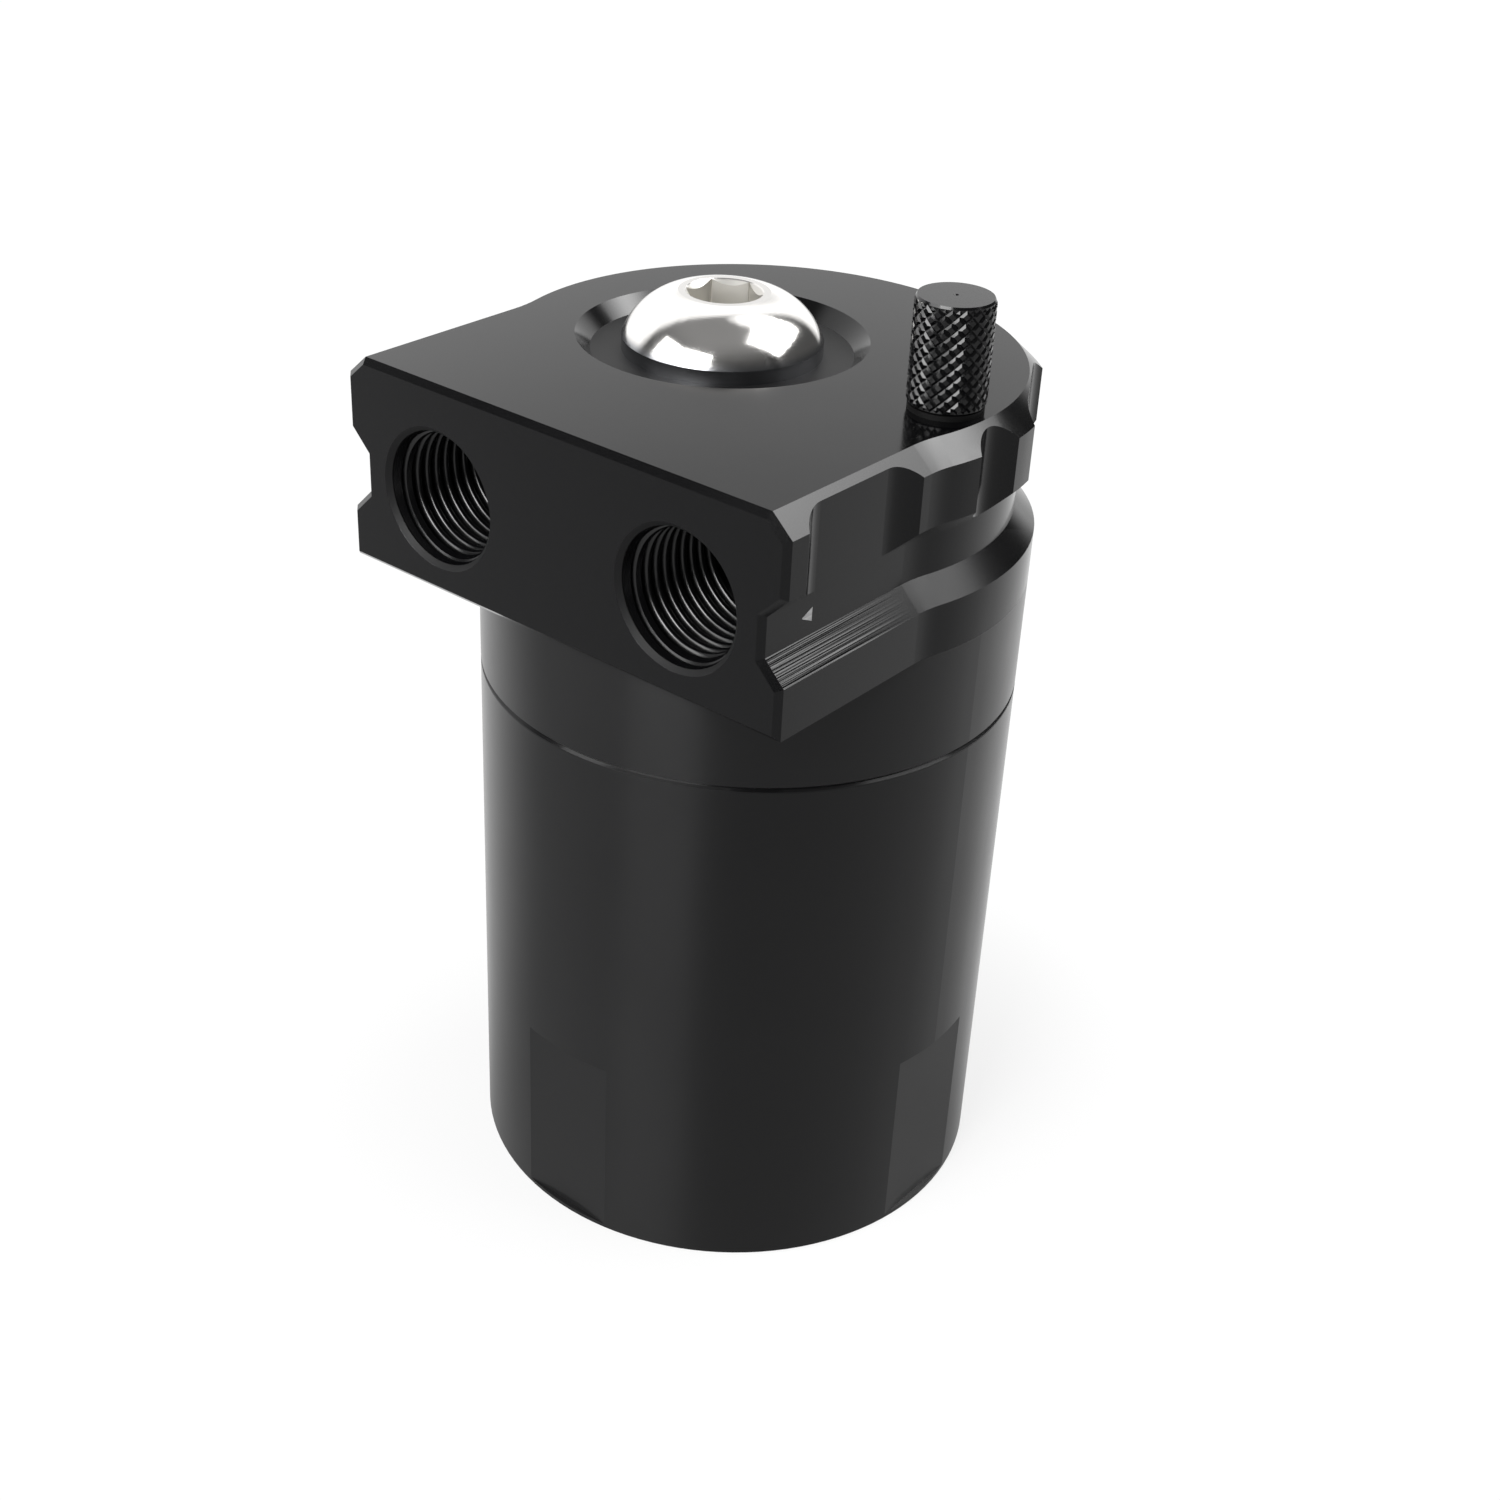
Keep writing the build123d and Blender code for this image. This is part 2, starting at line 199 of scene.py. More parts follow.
def anodised_billet(colours):
    """Black anodised aluminium milled from billet: a satin black film that mirrors at low angles."""
    finish, tree, shader, place = new_finish(
        "black_anodised_billet",
        colours.anodise,
        IOR=1.4,
        Anisotropic_Rotation=0.25,
        Coat_Roughness=0.12,
        Coat_IOR=1.4,
    )
    axes = add_node(tree, "ShaderNodeSeparateXYZ", {"Vector": place}).node.outputs
    aside = add_node(tree, "ShaderNodeMath", {0: axes["X"]}, operation="ABSOLUTE")
    # The groove's lower flank keeps the cutter's lines, about 0.25 mm apart, along its two flat sides.
    flank = {0: axes["Z"], 1: FLANK_MID, 2: FLANK_HALF + NEAR}
    flank = add_node(tree, "ShaderNodeMath", flank, operation="COMPARE")
    outer = {0: aside, 1: NECK_SIDE + NEAR}
    outer = add_node(tree, "ShaderNodeMath", outer, operation="GREATER_THAN")
    behind_face = {0: axes["Y"], 1: PORT_FACE + FACE_BREAK + NEAR}
    behind_face = add_node(tree, "ShaderNodeMath", behind_face, operation="GREATER_THAN")
    flank = add_node(tree, "ShaderNodeMath", {0: flank, 1: outer}, operation="MULTIPLY")
    flank = add_node(tree, "ShaderNodeMath", {0: flank, 1: behind_face}, operation="MULTIPLY")
    fading = {"Value": axes["Y"], "From Min": -12 * MM, "From Max": -42 * MM, "To Min": 0.0}
    fading = add_node(tree, "ShaderNodeMapRange", fading, interpolation_type="SMOOTHSTEP")
    milled = add_node(tree, "ShaderNodeMath", {0: flank, 1: fading}, operation="MULTIPLY")
    lines = streaks(tree, place, (0.0, 14.0, 1 / (0.25 * MM)))
    lines = add_node(tree, "ShaderNodeMath", {0: lines, 1: milled}, operation="MULTIPLY")
    # Turning lines round the skirt, drawn at 0.25 mm where the real ones are near 0.1 mm.
    skirt = add_node(tree, "ShaderNodeMath", {0: axes["Z"], 1: BLOCK_FLOOR}, operation="LESS_THAN")
    turned = streaks(tree, place, (0.0, 0.0, 1 / (0.25 * MM)))
    turned = add_node(tree, "ShaderNodeMath", {0: turned, 1: skirt}, operation="MULTIPLY")
    # Etch grain, drawn at 0.3 mm where the real one is near 0.05 mm.
    grain = {"Vector": place, "Scale": 1 / (0.3 * MM), "Detail": 2.0}
    grain = add_node(tree, "ShaderNodeTexNoise", grain)
    normal = add_node(tree, "ShaderNodeBump", {"Height": grain, "Distance": 0.0012 * MM})
    normal = {"Height": turned, "Distance": 0.004 * MM, "Normal": normal}
    normal = add_node(tree, "ShaderNodeBump", normal)
    normal = {"Height": lines, "Distance": 0.17 * MM, "Normal": normal}
    normal = add_node(tree, "ShaderNodeBump", normal)
    tree.links.new(normal, shader.inputs["Normal"])
    # The film is glossiest on the faced sides, and dull on the skirt, on the floor of the bolt's seat
    # and in the countersunk mouths of the ports.
    seat = {0: place, 1: (BOLT_X, 0.0, BOLT_SEAT)}
    seat = add_node(tree, "ShaderNodeVectorMath", seat, out="Value", operation="DISTANCE")
    seat = add_node(tree, "ShaderNodeMath", {0: seat, 1: SEAT_RADIUS + NEAR}, operation="LESS_THAN")
    sunk = add_node(tree, "ShaderNodeMath", {0: axes["Z"], 1: BOLT_SEAT + NEAR}, operation="LESS_THAN")
    seat = add_node(tree, "ShaderNodeMath", {0: seat, 1: sunk}, operation="MULTIPLY")
    mouth = add_node(tree, "ShaderNodeCombineXYZ", {"X": aside, "Y": axes["Y"], "Z": axes["Z"]})
    mouth = {0: mouth, 1: (PORT_X, PORT_FACE, PORT_Z)}
    mouth = add_node(tree, "ShaderNodeVectorMath", mouth, out="Value", operation="DISTANCE")
    inside = {0: mouth, 1: PORT_RADIUS + MOUTH_CHAMFER - NEAR}
    mouth = add_node(tree, "ShaderNodeMath", inside, operation="LESS_THAN")
    rough = smudges(tree, place, 16 * MM, 0.12, 0.17)
    for part, more in ((skirt, 0.17), (seat, 0.35), (flank, 0.06), (mouth, 0.4)):
        rough = add_node(tree, "ShaderNodeMath", {0: part, 1: more, 2: rough}, operation="MULTIPLY_ADD")
    tree.links.new(rough, shader.inputs["Roughness"])
    # Only the turned skirt draws out its highlights and ends in a light edge, as the can does.
    for socket, amount in (("Anisotropic", 0.97), ("Coat Weight", 0.42)):
        on_skirt = add_node(tree, "ShaderNodeMath", {0: skirt, 1: amount}, operation="MULTIPLY")
        tree.links.new(on_skirt, shader.inputs[socket])
    round_axis = add_node(tree, "ShaderNodeTangent", direction_type="RADIAL", axis="Z")
    tree.links.new(round_axis, shader.inputs["Tangent"])
    return finish


def anodised_turned(colours):
    """Black anodised aluminium turned on a lathe: fine rings draw each highlight out along the can,
    and the sealed film over them mirrors at low angles, so both sides of the can end in a light edge."""
    finish, tree, shader, place = new_finish(
        "black_anodised_turned",
        colours.anodise,
        IOR=1.33,
        Anisotropic=0.97,
        Anisotropic_Rotation=0.25,
        Coat_Weight=0.55,
        Coat_Roughness=0.12,
        Coat_IOR=1.4,
    )
    # The narrow chamfer round the can's mouth is duller than its wall.
    height = add_node(tree, "ShaderNodeSeparateXYZ", {"Vector": place}, out="Z")
    mouth = add_node(tree, "ShaderNodeMath", {0: height, 1: SEAM - 0.6 * MM}, operation="GREATER_THAN")
    rough = smudges(tree, place, 22 * MM, 0.32, 0.37)
    rough = add_node(tree, "ShaderNodeMath", {0: mouth, 1: 0.3, 2: rough}, operation="MULTIPLY_ADD")
    tree.links.new(rough, shader.inputs["Roughness"])
    round_axis = add_node(tree, "ShaderNodeTangent", direction_type="RADIAL", axis="Z")
    tree.links.new(round_axis, shader.inputs["Tangent"])
    # Turning lines, drawn at 0.25 mm where the real ones are near 0.1 mm.
    turned = streaks(tree, place, (0.0, 0.0, 1 / (0.25 * MM)))
    grain = {"Vector": place, "Scale": 1 / (0.3 * MM), "Detail": 2.0}
    grain = add_node(tree, "ShaderNodeTexNoise", grain)
    normal = add_node(tree, "ShaderNodeBump", {"Height": grain, "Distance": 0.001 * MM})
    normal = {"Height": turned, "Distance": 0.004 * MM, "Normal": normal}
    normal = add_node(tree, "ShaderNodeBump", normal)
    tree.links.new(normal, shader.inputs["Normal"])
    return finish


def anodised_knob(colours):
    """Black anodised aluminium, knurled: crests burnished by the rollers glint, grooves stay dark."""
    finish, tree, shader, place = new_finish("black_anodised_knob", colours.knob, IOR=1.5)
    tree.links.new(smudges(tree, place, 2 * MM, 0.13, 0.2), shader.inputs["Roughness"])
    grain = {"Vector": place, "Scale": 1 / (0.2 * MM), "Detail": 3.0}
    grain = add_node(tree, "ShaderNodeTexNoise", grain)
    normal = add_node(tree, "ShaderNodeBump", {"Height": grain, "Distance": 0.004 * MM})
    tree.links.new(normal, shader.inputs["Normal"])
    return finish


def anodised_thread(colours):
    """Black anodised aluminium, tapped: smooth crests shine as thin lines over black grooves."""
    finish, tree, shader, place = new_finish("black_anodised_thread", colours.anodise, IOR=1.6)
    tree.links.new(smudges(tree, place, 3 * MM, 0.18, 0.26), shader.inputs["Roughness"])
    grain = {"Vector": place, "Scale": 1 / (0.2 * MM), "Detail": 3.0}
    grain = add_node(tree, "ShaderNodeTexNoise", grain)
    normal = add_node(tree, "ShaderNodeBump", {"Height": grain, "Distance": 0.004 * MM})
    tree.links.new(normal, shader.inputs["Normal"])
    return finish


def polished_stainless(colours):
    """Stainless steel, cold formed and tumbled bright: a mirror with faint rings and handling haze."""
    finish, tree, shader, place = new_finish("polished_stainless", colours.stainless, Metallic=1.0)
    centred = add_node(tree, "ShaderNodeMapping", {"Vector": place, "Location": (-BOLT_X, 0.0, 0.0)})
    # The walls of the socket are painted a darker grey, painted shade inside the recess, and are made
    # rougher.
    level = {0: centred, 1: (1.0, 1.0, 0.0)}
    level = add_node(tree, "ShaderNodeVectorMath", level, operation="MULTIPLY")
    radius = add_node(tree, "ShaderNodeVectorMath", {0: level}, out="Value", operation="LENGTH")
    socket = {"Value": radius, "From Min": SOCKET_MOUTH, "From Max": SOCKET_MOUTH - 0.2 * MM}
    socket = add_node(tree, "ShaderNodeMapRange", socket)
    shade = {"Factor": socket, "A": colours.stainless, "B": srgb("#d2d0cb")}
    shade = add_node(tree, "ShaderNodeMix", shade, out="Result", data_type="RGBA")
    # The lower edge of the head is painted a darker grey, a painted reflection of the dark seat round
    # it, and is made a little rougher.
    height = add_node(tree, "ShaderNodeSeparateXYZ", {"Vector": place}, out="Z")
    edge = {"Value": height, "From Min": BOLT_SEAT + 3.3 * MM, "From Max": BOLT_SEAT + 1.9 * MM}
    edge = add_node(tree, "ShaderNodeMapRange", edge, interpolation_type="SMOOTHSTEP")
    shade = {"Factor": edge, "A": shade, "B": srgb("#9d9ea1")}
    shade = add_node(tree, "ShaderNodeMix", shade, out="Result", data_type="RGBA")
    tree.links.new(shade, shader.inputs["Base Color"])
    haze = smudges(tree, place, 5 * MM, 0.1, 0.15)
    for part, more in ((socket, 0.35), (edge, 0.12)):
        haze = add_node(tree, "ShaderNodeMath", {0: part, 1: more, 2: haze}, operation="MULTIPLY_ADD")
    tree.links.new(haze, shader.inputs["Roughness"])
    # Rings from the forming die, 0.4 mm apart.
    rings = add_node(
        tree,
        "ShaderNodeTexWave",
        {"Vector": centred, "Scale": tau / 20 / (0.4 * MM), "Distortion": 1.5, "Detail": 2.0},
        out="Fac",
        wave_type="RINGS",
        rings_direction="Z",
    )
    normal = add_node(tree, "ShaderNodeBump", {"Height": rings, "Distance": 0.0008 * MM})
    tree.links.new(normal, shader.inputs["Normal"])
    return finish


def drawn_stainless(colours):
    """Stainless rod as drawn: dull grey with fine lines along its length."""
    finish, tree, shader, place = new_finish("drawn_stainless", colours.rod, Metallic=1.0)
    tree.links.new(smudges(tree, place, 8 * MM, 0.28, 0.4), shader.inputs["Roughness"])
    # Draw lines 0.15 mm apart.
    lines = streaks(tree, place, (1 / (0.15 * MM), 1 / (0.15 * MM), 30.0))
    normal = add_node(tree, "ShaderNodeBump", {"Height": lines, "Distance": 0.006 * MM})
    tree.links.new(normal, shader.inputs["Normal"])
    return finish


def plain_aluminium(colours):
    """Bare aluminium, sawn and deburred: pale grey with a soft cross grain."""
    finish, tree, shader, place = new_finish("plain_aluminium", colours.aluminium, Metallic=1.0)
    tree.links.new(smudges(tree, place, 6 * MM, 0.3, 0.45), shader.inputs["Roughness"])
    # Saw and deburring lines 0.2 mm apart.
    lines = streaks(tree, place, (60.0, 1 / (0.2 * MM), 1 / (0.2 * MM)))
    normal = add_node(tree, "ShaderNodeBump", {"Height": lines, "Distance": 0.008 * MM})
    tree.links.new(normal, shader.inputs["Normal"])
    return finish


def zinc_plate(colours):
    """Steel screws with bright zinc: bluish grey, slightly cloudy."""
    finish, tree, shader, place = new_finish("zinc_plated_steel", colours.zinc, Metallic=1.0)
    tree.links.new(smudges(tree, place, 1.5 * MM, 0.22, 0.42), shader.inputs["Roughness"])
    grain = {"Vector": place, "Scale": 1 / (0.2 * MM), "Detail": 2.0}
    grain = add_node(tree, "ShaderNodeTexNoise", grain)
    normal = add_node(tree, "ShaderNodeBump", {"Height": grain, "Distance": 0.004 * MM})
    tree.links.new(normal, shader.inputs["Normal"])
    return finish


def nitrile_rubber(colours):
    """Moulded nitrile: dead black with a dull bloom."""
    finish, tree, shader, place = new_finish("nitrile_rubber", colours.rubber, IOR=1.3)
    tree.links.new(smudges(tree, place, 3 * MM, 0.5, 0.7), shader.inputs["Roughness"])
    grain = {"Vector": place, "Scale": 1 / (0.25 * MM), "Detail": 3.0}
    grain = add_node(tree, "ShaderNodeTexNoise", grain)
    normal = add_node(tree, "ShaderNodeBump", {"Height": grain, "Distance": 0.01 * MM})
    tree.links.new(normal, shader.inputs["Normal"])
    return finish


def knitted_wire(colours):
    """Knitted stainless wire pressed into a pad: a grey tangle of bright wire over gaps painted dark as
    shade.
    """
    finish, tree, shader, place = new_finish("knitted_wire", colours.mesh, Metallic=1.0)
    tree.links.new(smudges(tree, place, 4 * MM, 0.3, 0.5), shader.inputs["Roughness"])
    # Loops of wire about 1.2 mm across.
    loops = {"Vector": place, "Scale": 1 / (1.2 * MM)}
    loops = add_node(tree, "ShaderNodeTexVoronoi", loops, out="Distance", feature="DISTANCE_TO_EDGE")
    wire = {"Value": loops, "From Min": 0.16, "From Max": 0.04}
    wire = add_node(tree, "ShaderNodeMapRange", wire, interpolation_type="SMOOTHSTEP")
    # Painted shade: the gaps between the wires are painted near black.
    shade = {"Factor": wire, "A": srgb("#1c1b1a"), "B": colours.mesh}
    shade = add_node(tree, "ShaderNodeMix", shade, out="Result", data_type="RGBA")
    tree.links.new(shade, shader.inputs["Base Color"])
    normal = add_node(tree, "ShaderNodeBump", {"Height": wire, "Distance": 0.25 * MM})
    tree.links.new(normal, shader.inputs["Normal"])
    return finish


def laser_etch(colours):
    """Oxide bleached by a laser: chalky pale grey with fine hatch lines."""
    finish, tree, shader, place = new_finish("laser_etched_oxide", colours.etch, Roughness=0.7)
    # Hatch of the beam 0.12 mm apart.
    hatch = streaks(tree, place, (200.0, 200.0, 1 / (0.12 * MM)))
    line = {"Value": hatch, "From Min": 0.3, "From Max": 0.7}
    line = add_node(tree, "ShaderNodeMapRange", line, interpolation_type="SMOOTHSTEP")
    shade = {"Factor": line, "A": srgb("#8c8c8c"), "B": colours.etch}
    shade = add_node(tree, "ShaderNodeMix", shade, out="Result", data_type="RGBA")
    tree.links.new(shade, shader.inputs["Base Color"])
    normal = add_node(tree, "ShaderNodeBump", {"Height": hatch, "Distance": 0.004 * MM})
    tree.links.new(normal, shader.inputs["Normal"])
    return finish


def nothing_selected():
    """Object mode with nothing selected, so that an operator acts on the new piece alone."""
    if bpy.context.object and bpy.context.object.mode != "OBJECT":
        bpy.ops.object.mode_set(mode="OBJECT")
    bpy.ops.object.select_all(action="DESELECT")


def settle():
    """Moves the place of the new object into its mesh and opens it for editing with all selected."""
    bpy.ops.object.transform_apply(location=True, rotation=True, scale=True)
    bpy.ops.object.mode_set(mode="EDIT")
    bpy.ops.mesh.select_mode(type="VERT")
    bpy.ops.mesh.select_all(action="SELECT")


def pick(test):
    """Selects the points of the piece in edit mode whose place passes the test."""
    bpy.ops.mesh.select_all(action="DESELECT")
    bpy.ops.object.mode_set(mode="OBJECT")
    for point in bpy.context.object.data.vertices:
        point.select = bool(test(point.co))
    bpy.ops.object.mode_set(mode="EDIT")


def turn_profile(radius, axis, steps):
    """Carries the selected ring, of one radius, through steps that each give a rise and a new radius."""
    for rise, new_radius in steps:
        bpy.ops.mesh.extrude_region_move(TRANSFORM_OT_translate={"value": (0.0, 0.0, rise)})
        factor = new_radius / radius
        bpy.ops.transform.resize(value=(factor, factor, 1.0), center_override=axis)
        radius = new_radius


def close_and_turn_out():
    """Closes what is open and points every face outwards."""
    bpy.ops.mesh.select_all(action="SELECT")
    bpy.ops.mesh.remove_doubles(threshold=0.0005 * MM)
    bpy.ops.mesh.fill_holes(sides=0)
    bpy.ops.mesh.normals_make_consistent(inside=False)
    bpy.ops.object.mode_set(mode="OBJECT")


def hand_over(piece, name, body, finish):
    """Names the finished piece, smooths it between its sharp edges and hangs it on its body."""
    piece.name = name
    piece.data.name = name
    nothing_selected()
    piece.select_set(True)
    bpy.context.view_layer.objects.active = piece
    bpy.ops.object.shade_smooth_by_angle(angle=radians(32))
    piece.data.materials.clear()
    piece.data.materials.append(finish)
    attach(piece, body)


def helical_ridge(root, crest, pitch, turns, steps, crest_share, crest_round):
    """One ridge of thread round the Z axis, from root to crest radius, starting at z = 0.

    The crest's width is given as a share of the pitch, and each turn is drawn in so many steps.
    """
    nothing_selected()
    bpy.ops.mesh.primitive_plane_add(size=1.0, rotation=(pi / 2, 0.0, 0.0))
    ridge = bpy.context.object
    settle()
    bpy.ops.transform.resize(
        value=(abs(crest - root), 1.0, THREAD_FOOT * pitch), center_override=(0.0, 0.0, 0.0)
    )
    bpy.ops.transform.translate(value=((root + crest) / 2, 0.0, 0.0))
    pick(lambda co: abs(co.x - crest) < abs(co.x - root))
    bpy.ops.transform.resize(
        value=(1.0, 1.0, crest_share / THREAD_FOOT), center_override=(crest, 0.0, 0.0)
    )
    bpy.ops.mesh.bevel(offset=crest_round, segments=4, affect="VERTICES")
    bpy.ops.mesh.select_all(action="SELECT")
    bpy.ops.mesh.delete(type="ONLY_FACE")
    bpy.ops.object.mode_set(mode="OBJECT")
    helix = ridge.modifiers.new("Helix", "SCREW")
    helix.axis = "Z"
    helix.angle = tau
    helix.screw_offset = pitch
    helix.iterations = turns
    helix.steps = steps
    helix.render_steps = steps
    bpy.ops.object.modifier_apply(modifier=helix.name)
    bpy.ops.object.mode_set(mode="EDIT")
    close_and_turn_out()
    return ridge


def low_start(ridge, wall, edge):
    """Cuts the first turns of an inner ridge low, from nothing at z = edge up to full height."""
    ahead, behind, taper = 4.0 * MM, 3.0 * MM, 0.35
    nothing_selected()
    bpy.ops.mesh.primitive_cone_add(
        vertices=144,
        radius1=wall + taper * ahead,
        radius2=wall - taper * behind,
        depth=ahead + behind,
        location=(0.0, 0.0, edge + (behind - ahead) / 2),
    )
    cutter = bpy.context.object
    nothing_selected()
    ridge.select_set(True)
    bpy.context.view_layer.objects.active = ridge
    cut = ridge.modifiers.new("Low start", "BOOLEAN")
    cut.operation = "DIFFERENCE"
    cut.solver = "EXACT"
    cut.object = cutter
    bpy.ops.object.modifier_apply(modifier=cut.name)
    bpy.data.objects.remove(cutter)


class CATCHCAN_OT_port_threads(bpy.types.Operator):
    """Winds the thread into both hose ports and cuts its start low at the mouth"""

    bl_idname = "catchcan.port_threads"
    bl_label = "Port threads"

    def execute(self, context):
        sizes = context.scene.catch_can_sizes
        finish = bpy.data.materials["black_anodised_thread"]
        pitch, turns = sizes.port_pitch, sizes.port_turns
        # The ridge's foot is sunk in the wall.
        root, tip = PORT_RADIUS + 0.04 * MM, PORT_RADIUS - THREAD_HEIGHT * pitch
        # The first turn starts in front of the port, and all that stands before the chamfer is cut off.
        ahead = pitch - 0.48 * MM
        for name, side in (("inlet_thread", -1), ("outlet_thread", 1)):
            ridge = helical_ridge(
                root, tip, pitch, turns, steps=72, crest_share=0.36, crest_round=0.26 * MM
            )
            low_start(ridge, root + NEAR, ahead + MOUTH_CHAMFER)
            ridge.rotation_euler = (-pi / 2, 0.0, 0.0)
            ridge.location = (side * PORT_X, PORT_FACE - ahead, PORT_Z)
            bpy.ops.object.transform_apply(location=True, rotation=True, scale=True)
            hand_over(ridge, name, "head", finish)
        return {"FINISHED"}


class CATCHCAN_OT_spigot_thread(bpy.types.Operator):
    """Winds the low thread round the spigot that goes into the can"""

    bl_idname = "catchcan.spigot_thread"
    bl_label = "Spigot thread"

    def execute(self, context):
        sizes = context.scene.catch_can_sizes
        finish = bpy.data.materials["black_anodised_billet"]
        # Low enough to stay inside the can's bore.
        root, crest = SPIGOT_RADIUS - 0.05 * MM, SPIGOT_RADIUS + 0.24 * MM
        pitch, turns = sizes.spigot_pitch, sizes.spigot_turns
        ridge = helical_ridge(
            root, crest, pitch, turns, steps=128, crest_share=0.22, crest_round=0.05 * MM
        )
        ridge.location = (0.0, 0.0, HEAD_LOW.z + 1.0 * MM)
        bpy.ops.object.transform_apply(location=True, rotation=True, scale=True)
        hand_over(ridge, "spigot_thread", "head", finish)
        return {"FINISHED"}


class CATCHCAN_OT_knurled_knob(bpy.types.Operator):
    """Turns and knurls the dipstick's knob with its threaded shank"""

    bl_idname = "catchcan.knurled_knob"
    bl_label = "Knurled knob"

    def execute(self, context):
        sizes = context.scene.catch_can_sizes
        peak = (KNOB_HIGH.x - KNOB_LOW.x) / 2
        valley = peak - sizes.knurl_depth
        foot, top = WASHER_TOP, KNOB_HIGH.z
        # The knurl leaves room for a chamfer at both ends.
        start, end = foot + 0.25 * MM, top - 0.32 * MM
        columns, levels = 4 * sizes.knurl_count, 2 * sizes.knurl_rows
        row = (end - start) / levels
        axis = (STICK_X, 0.0, 0.0)

        nothing_selected()
        bpy.ops.mesh.primitive_circle_add(
            vertices=columns, radius=peak, fill_type="NOTHING", location=(STICK_X, 0.0, start)
        )
        knob = bpy.context.object
        settle()
        for _ in range(levels):
            bpy.ops.mesh.extrude_region_move(TRANSFORM_OT_translate={"value": (0.0, 0.0, row)})

        def in_groove(co):
            column = round(atan2(co.y, co.x - STICK_X) / (tau / columns))
            level = round((co.z - start) / row)
            crossed = (column - level) % 4 == 0 or (column + level) % 4 == 0
            return crossed or level in (0, levels)

        pick(in_groove)
        sunk = valley / peak
        bpy.ops.transform.resize(value=(sunk, sunk, 1.0), center_override=axis)
        bpy.ops.mesh.select_all(action="SELECT")
        bpy.ops.mesh.quads_convert_to_tris(quad_method="SHORTEST_DIAGONAL")

        # Plain chamfer and flat top with the lathe centre's mark.
        pick(lambda co: co.z > end - row / 4)
        out = KNOB_EDGE / valley
        bpy.ops.transform.resize(value=(out, out, 1.0), center_override=axis)
        above = (top - end, KNOB_TOP), (0.0, CENTRE_MARK), (-CENTRE_DEPTH, CENTRE_TIP)
        turn_profile(KNOB_EDGE, axis, above)

        # Chamfer under the knurl, core of the shank with its chamfered end, and hole for the rod.
        pick(lambda co: co.z < start + row / 4)
        chamfer = 0.4 * MM
        below = (
            (foot - start, KNOB_FOOT),
            (0.0, SHANK_CORE),
            (KNOB_LOW.z + chamfer - foot, SHANK_CORE),
            (-chamfer, SHANK_END),
            (0.0, ROD_HOLE),
            (ROD_HOLE_DEPTH, ROD_HOLE),
        )
        turn_profile(valley, axis, below)
        close_and_turn_out()

        # The ridge's foot is sunk in the core.
        root = SHANK_CORE - 0.04 * MM
        pitch, turns = sizes.stick_pitch, sizes.stick_turns
        ridge = helical_ridge(
            root, SHANK_CREST, pitch, turns, steps=40, crest_share=0.22, crest_round=0.08 * MM
        )
        ridge.location = (STICK_X, 0.0, KNOB_LOW.z + 1.2 * MM)
        bpy.ops.object.transform_apply(location=True, rotation=True, scale=True)
        knob.select_set(True)
        bpy.context.view_layer.objects.active = knob
        bpy.ops.object.join()
        finish = bpy.data.materials["black_anodised_knob"]
        hand_over(knob, "knurled_knob", "dipstick", finish)
        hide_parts("dipstick_knob")
        return {"FINISHED"}


class CATCHCAN_OT_flow_marks(bpy.types.Operator):
    """Etches the plain flow triangles on both sides of the waist"""

    bl_idname = "catchcan.flow_marks"
    bl_label = "Flow marks"

    def execute(self, context):
        sizes = context.scene.catch_can_sizes
        finish = bpy.data.materials["laser_etched_oxide"]
        depth, proud, centre = 0.05 * MM, 0.008 * MM, (0.0, 0.0, 0.0)
        # The triangle starts with sides of the square root of 3 and a height of 1.5.
        high, long = sizes.mark_height / 3**0.5, sizes.mark_length / 1.5
        for name, side, tip in (("outlet_flow_mark", 1, -1), ("inlet_flow_mark", -1, 1)):
            nothing_selected()
            bpy.ops.mesh.primitive_circle_add(
                vertices=3, radius=1.0, fill_type="NGON", rotation=(pi / 2, 0.0, pi / 2)
            )
            mark = bpy.context.object
            settle()
            bpy.ops.transform.resize(value=(1.0, high, long), center_override=centre)
            bpy.ops.transform.rotate(value=tip * pi / 2, orient_axis="X", center_override=centre)
            bpy.ops.transform.translate(value=(side * (NECK_SIDE + proud), MARK_Y, MARK_Z))
            bpy.ops.mesh.extrude_region_move(TRANSFORM_OT_translate={"value": (-side * depth, 0.0, 0.0)})
            bpy.ops.mesh.select_all(action="SELECT")
            bpy.ops.mesh.bevel(offset=0.004 * MM, segments=1, affect="EDGES")
            close_and_turn_out()
            hand_over(mark, name, "head", finish)
        return {"FINISHED"}


class CATCHCAN_OT_finishes(bpy.types.Operator):
    """Makes every finish and gives the solids theirs"""

    bl_idname = "catchcan.finishes"
    bl_label = "Finishes"

    def execute(self, context):
        colours = context.scene.catch_can_colours
        laser_etch(colours)
        anodised_thread(colours)
        bare = plain_aluminium(colours)
        rubber = nitrile_rubber(colours)
        worn = {
            "can": anodised_turned(colours),
            "head": anodised_billet(colours),
            "dipstick_knob": anodised_knob(colours),
            "bracket_bolt": polished_stainless(colours),
            "dipstick_rod": drawn_stainless(colours),
            "inlet_tube": bare,
            "baffle_plate": bare,
            "baffle_spacers": bare,
            "baffle_screws": zinc_plate(colours),
            "can_seal": rubber,
            "dipstick_seal": rubber,
            "coalescing_mesh": knitted_wire(colours),
        }
        for name, finish in worn.items():
            NODES[name].data.materials.clear()
            NODES[name].data.materials.append(finish)
        return {"FINISHED"}


